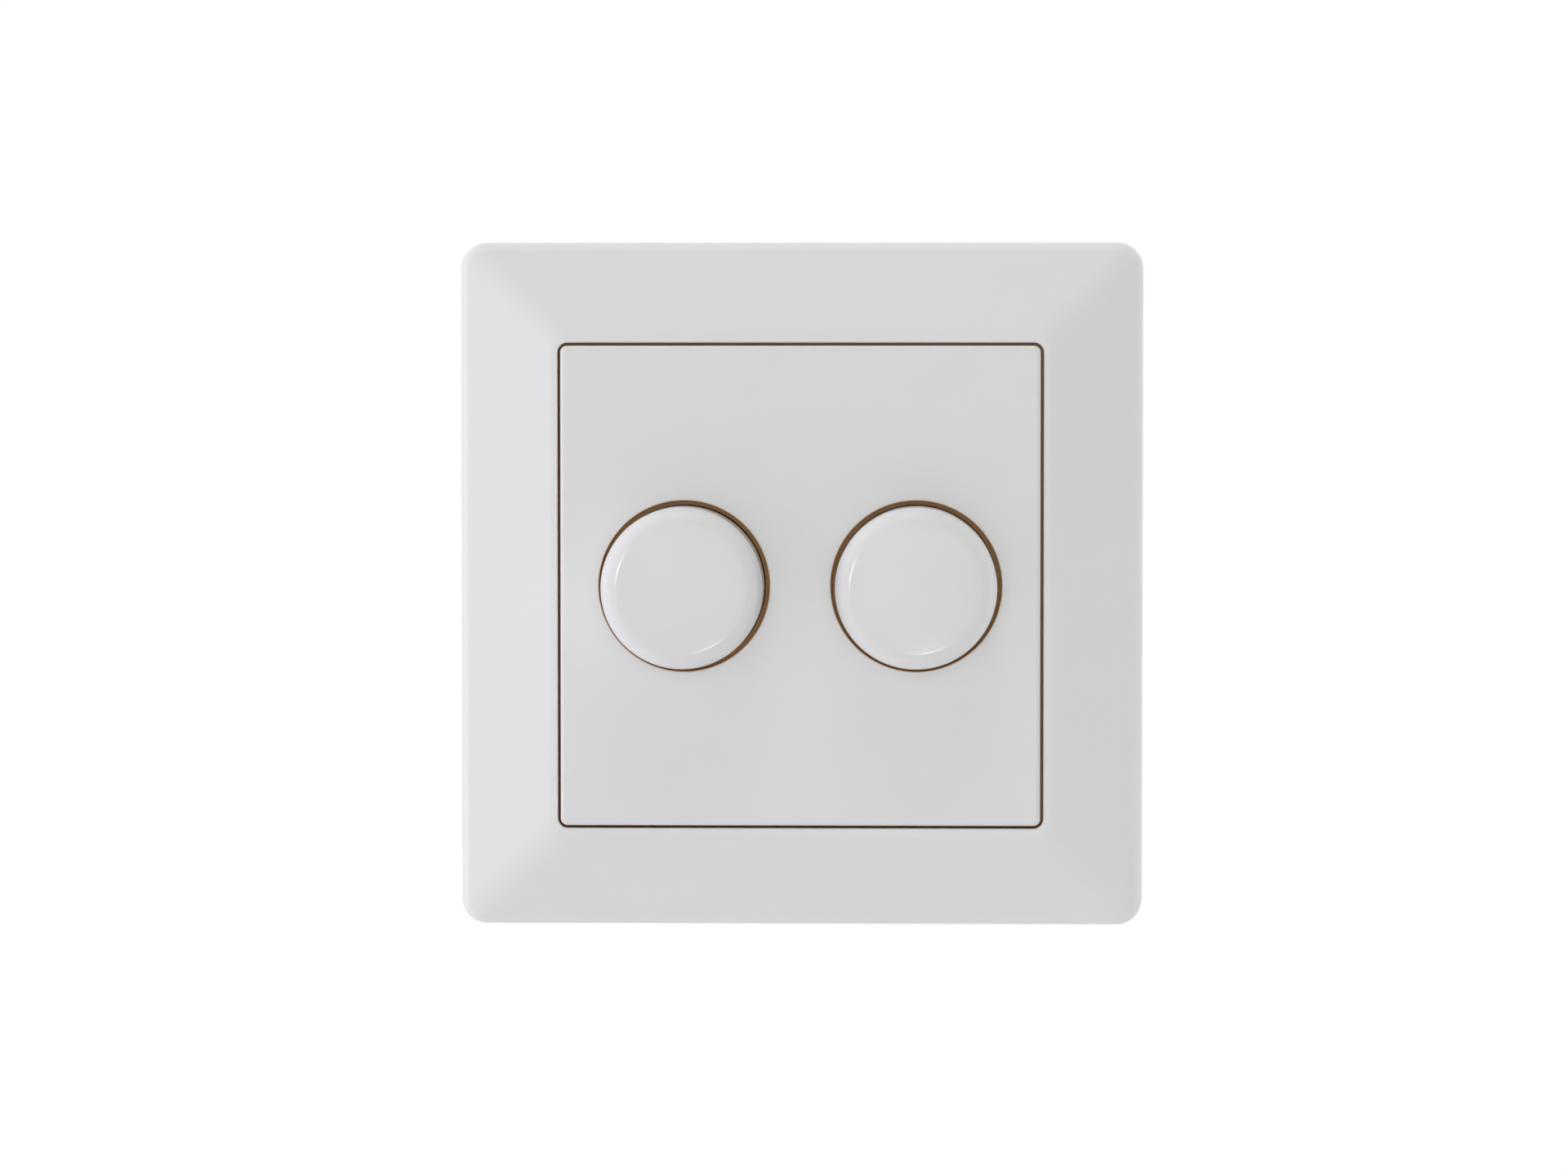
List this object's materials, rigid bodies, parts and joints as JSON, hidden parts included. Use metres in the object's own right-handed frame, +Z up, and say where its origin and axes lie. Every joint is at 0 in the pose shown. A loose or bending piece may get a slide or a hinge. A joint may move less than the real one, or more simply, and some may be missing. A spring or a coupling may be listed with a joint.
{
  "type": "twin rotary dimmer switch",
  "caption": "Square white flush-mounted twin dimmer: bevelled cover frame, centre plate and round press-and-turn knobs side by side over a boxed insert with screw terminals.",
  "frame": {"origin": "centre of the square cover frame, in the wall plane that its back rim and the support plate touch", "axes": "+Z up the wall, +X to the right seen from the room, +Y into the wall; the knobs face -Y"},
  "size_m": [0.082, 0.0424, 0.082],
  "materials": {
    "frame_plastic": "fine satin, white",
    "plate_plastic": "fine satin, white",
    "knob_plastic": "fine satin, white",
    "nut_steel": "nickel plated",
    "plate_steel": "zinc plated",
    "housing_plastic": "matt light grey",
    "screw_steel": "zinc plated",
    "board_laminate": "solder-mask green",
    "pad_rubber": "matt grey",
    "fuse_glass": "clear",
    "cap_metal": "nickel plated",
    "clip_brass": "tinned",
    "terminal_plastic": "matt off-white",
    "clamp_brass": "plain",
    "bush_brass": "dull",
    "shaft_aluminium": "turned",
    "rotor_plastic": "natural",
    "contact_brass": "bright",
    "track_laminate": "brown laminate with a black track",
    "case_plastic": "matt black",
    "slider_plastic": "natural",
    "spring_steel": "bright",
    "triac_epoxy": "matt black, tinned leads",
    "capacitor_plastic": "yellow",
    "choke_ferrite": "dark grey ferrite",
    "winding_copper": "lacquered copper wire"
  },
  "bodies": {
    "insert": {"cover_frame": "frame_plastic", "centre_plate": "plate_plastic", "plate_nuts": "nut_steel", "support_plate": "plate_steel", "module_housing": "housing_plastic", "module_screws": "screw_steel", "circuit_board": "board_laminate", "insulating_pad": "pad_rubber", "fuse_tube": "fuse_glass", "fuse_caps": "cap_metal", "fuse_clips": "clip_brass", "terminal_block": "terminal_plastic", "terminal_clamps": "clamp_brass", "terminal_screws": "screw_steel", "left_bush": "bush_brass", "right_bush": "bush_brass", "left_track": "track_laminate", "right_track": "track_laminate", "left_track_pins": "contact_brass", "right_track_pins": "contact_brass", "left_pot_case": "case_plastic", "right_pot_case": "case_plastic", "left_contact_spring": "spring_steel", "right_contact_spring": "spring_steel", "left_switch_contacts": "contact_brass", "right_switch_contacts": "contact_brass", "left_triac": "triac_epoxy", "right_triac": "triac_epoxy", "left_capacitor": "capacitor_plastic", "right_capacitor": "capacitor_plastic", "left_choke_core": "choke_ferrite", "right_choke_core": "choke_ferrite", "left_choke_winding": "winding_copper", "right_choke_winding": "winding_copper"},
    "left_dial": {"left_rotor": "rotor_plastic", "left_wiper": "contact_brass"},
    "right_dial": {"right_rotor": "rotor_plastic", "right_wiper": "contact_brass"},
    "left_knob": {"left_knob": "knob_plastic", "left_shaft": "shaft_aluminium"},
    "right_knob": {"right_knob": "knob_plastic", "right_shaft": "shaft_aluminium"},
    "left_slider": {"left_switch_slider": "slider_plastic"},
    "right_slider": {"right_switch_slider": "slider_plastic"}
  },
  "joints": [
    {"name": "left_turn", "type": "hinge", "parent": "insert", "child": "left_dial", "pos_m": [-0.0138, 0, 0], "axis": [0, 1, 0], "range_deg": [-135, 135]},
    {"name": "left_push", "type": "slide", "parent": "left_dial", "child": "left_knob", "axis": [0, 1, 0], "range_m": [0, 0.0015], "stiffness_N_per_m": 2000, "springref_m": -0.0005},
    {"name": "left_switch", "type": "slide", "parent": "insert", "child": "left_slider", "axis": [0, 1, 0], "range_m": [0, 0.0015], "deforming": ["left_contact_spring"]},
    {"name": "right_turn", "type": "hinge", "parent": "insert", "child": "right_dial", "pos_m": [0.0138, 0, 0], "axis": [0, 1, 0], "range_deg": [-135, 135]},
    {"name": "right_push", "type": "slide", "parent": "right_dial", "child": "right_knob", "axis": [0, 1, 0], "range_m": [0, 0.0015], "stiffness_N_per_m": 2000, "springref_m": -0.0005},
    {"name": "right_switch", "type": "slide", "parent": "insert", "child": "right_slider", "axis": [0, 1, 0], "range_m": [0, 0.0015], "deforming": ["right_contact_spring"]}
  ],
  "couplings": [
    {"joint": "left_switch", "follows": "left_push", "ratio": 1},
    {"joint": "right_switch", "follows": "right_push", "ratio": 1}
  ]
}
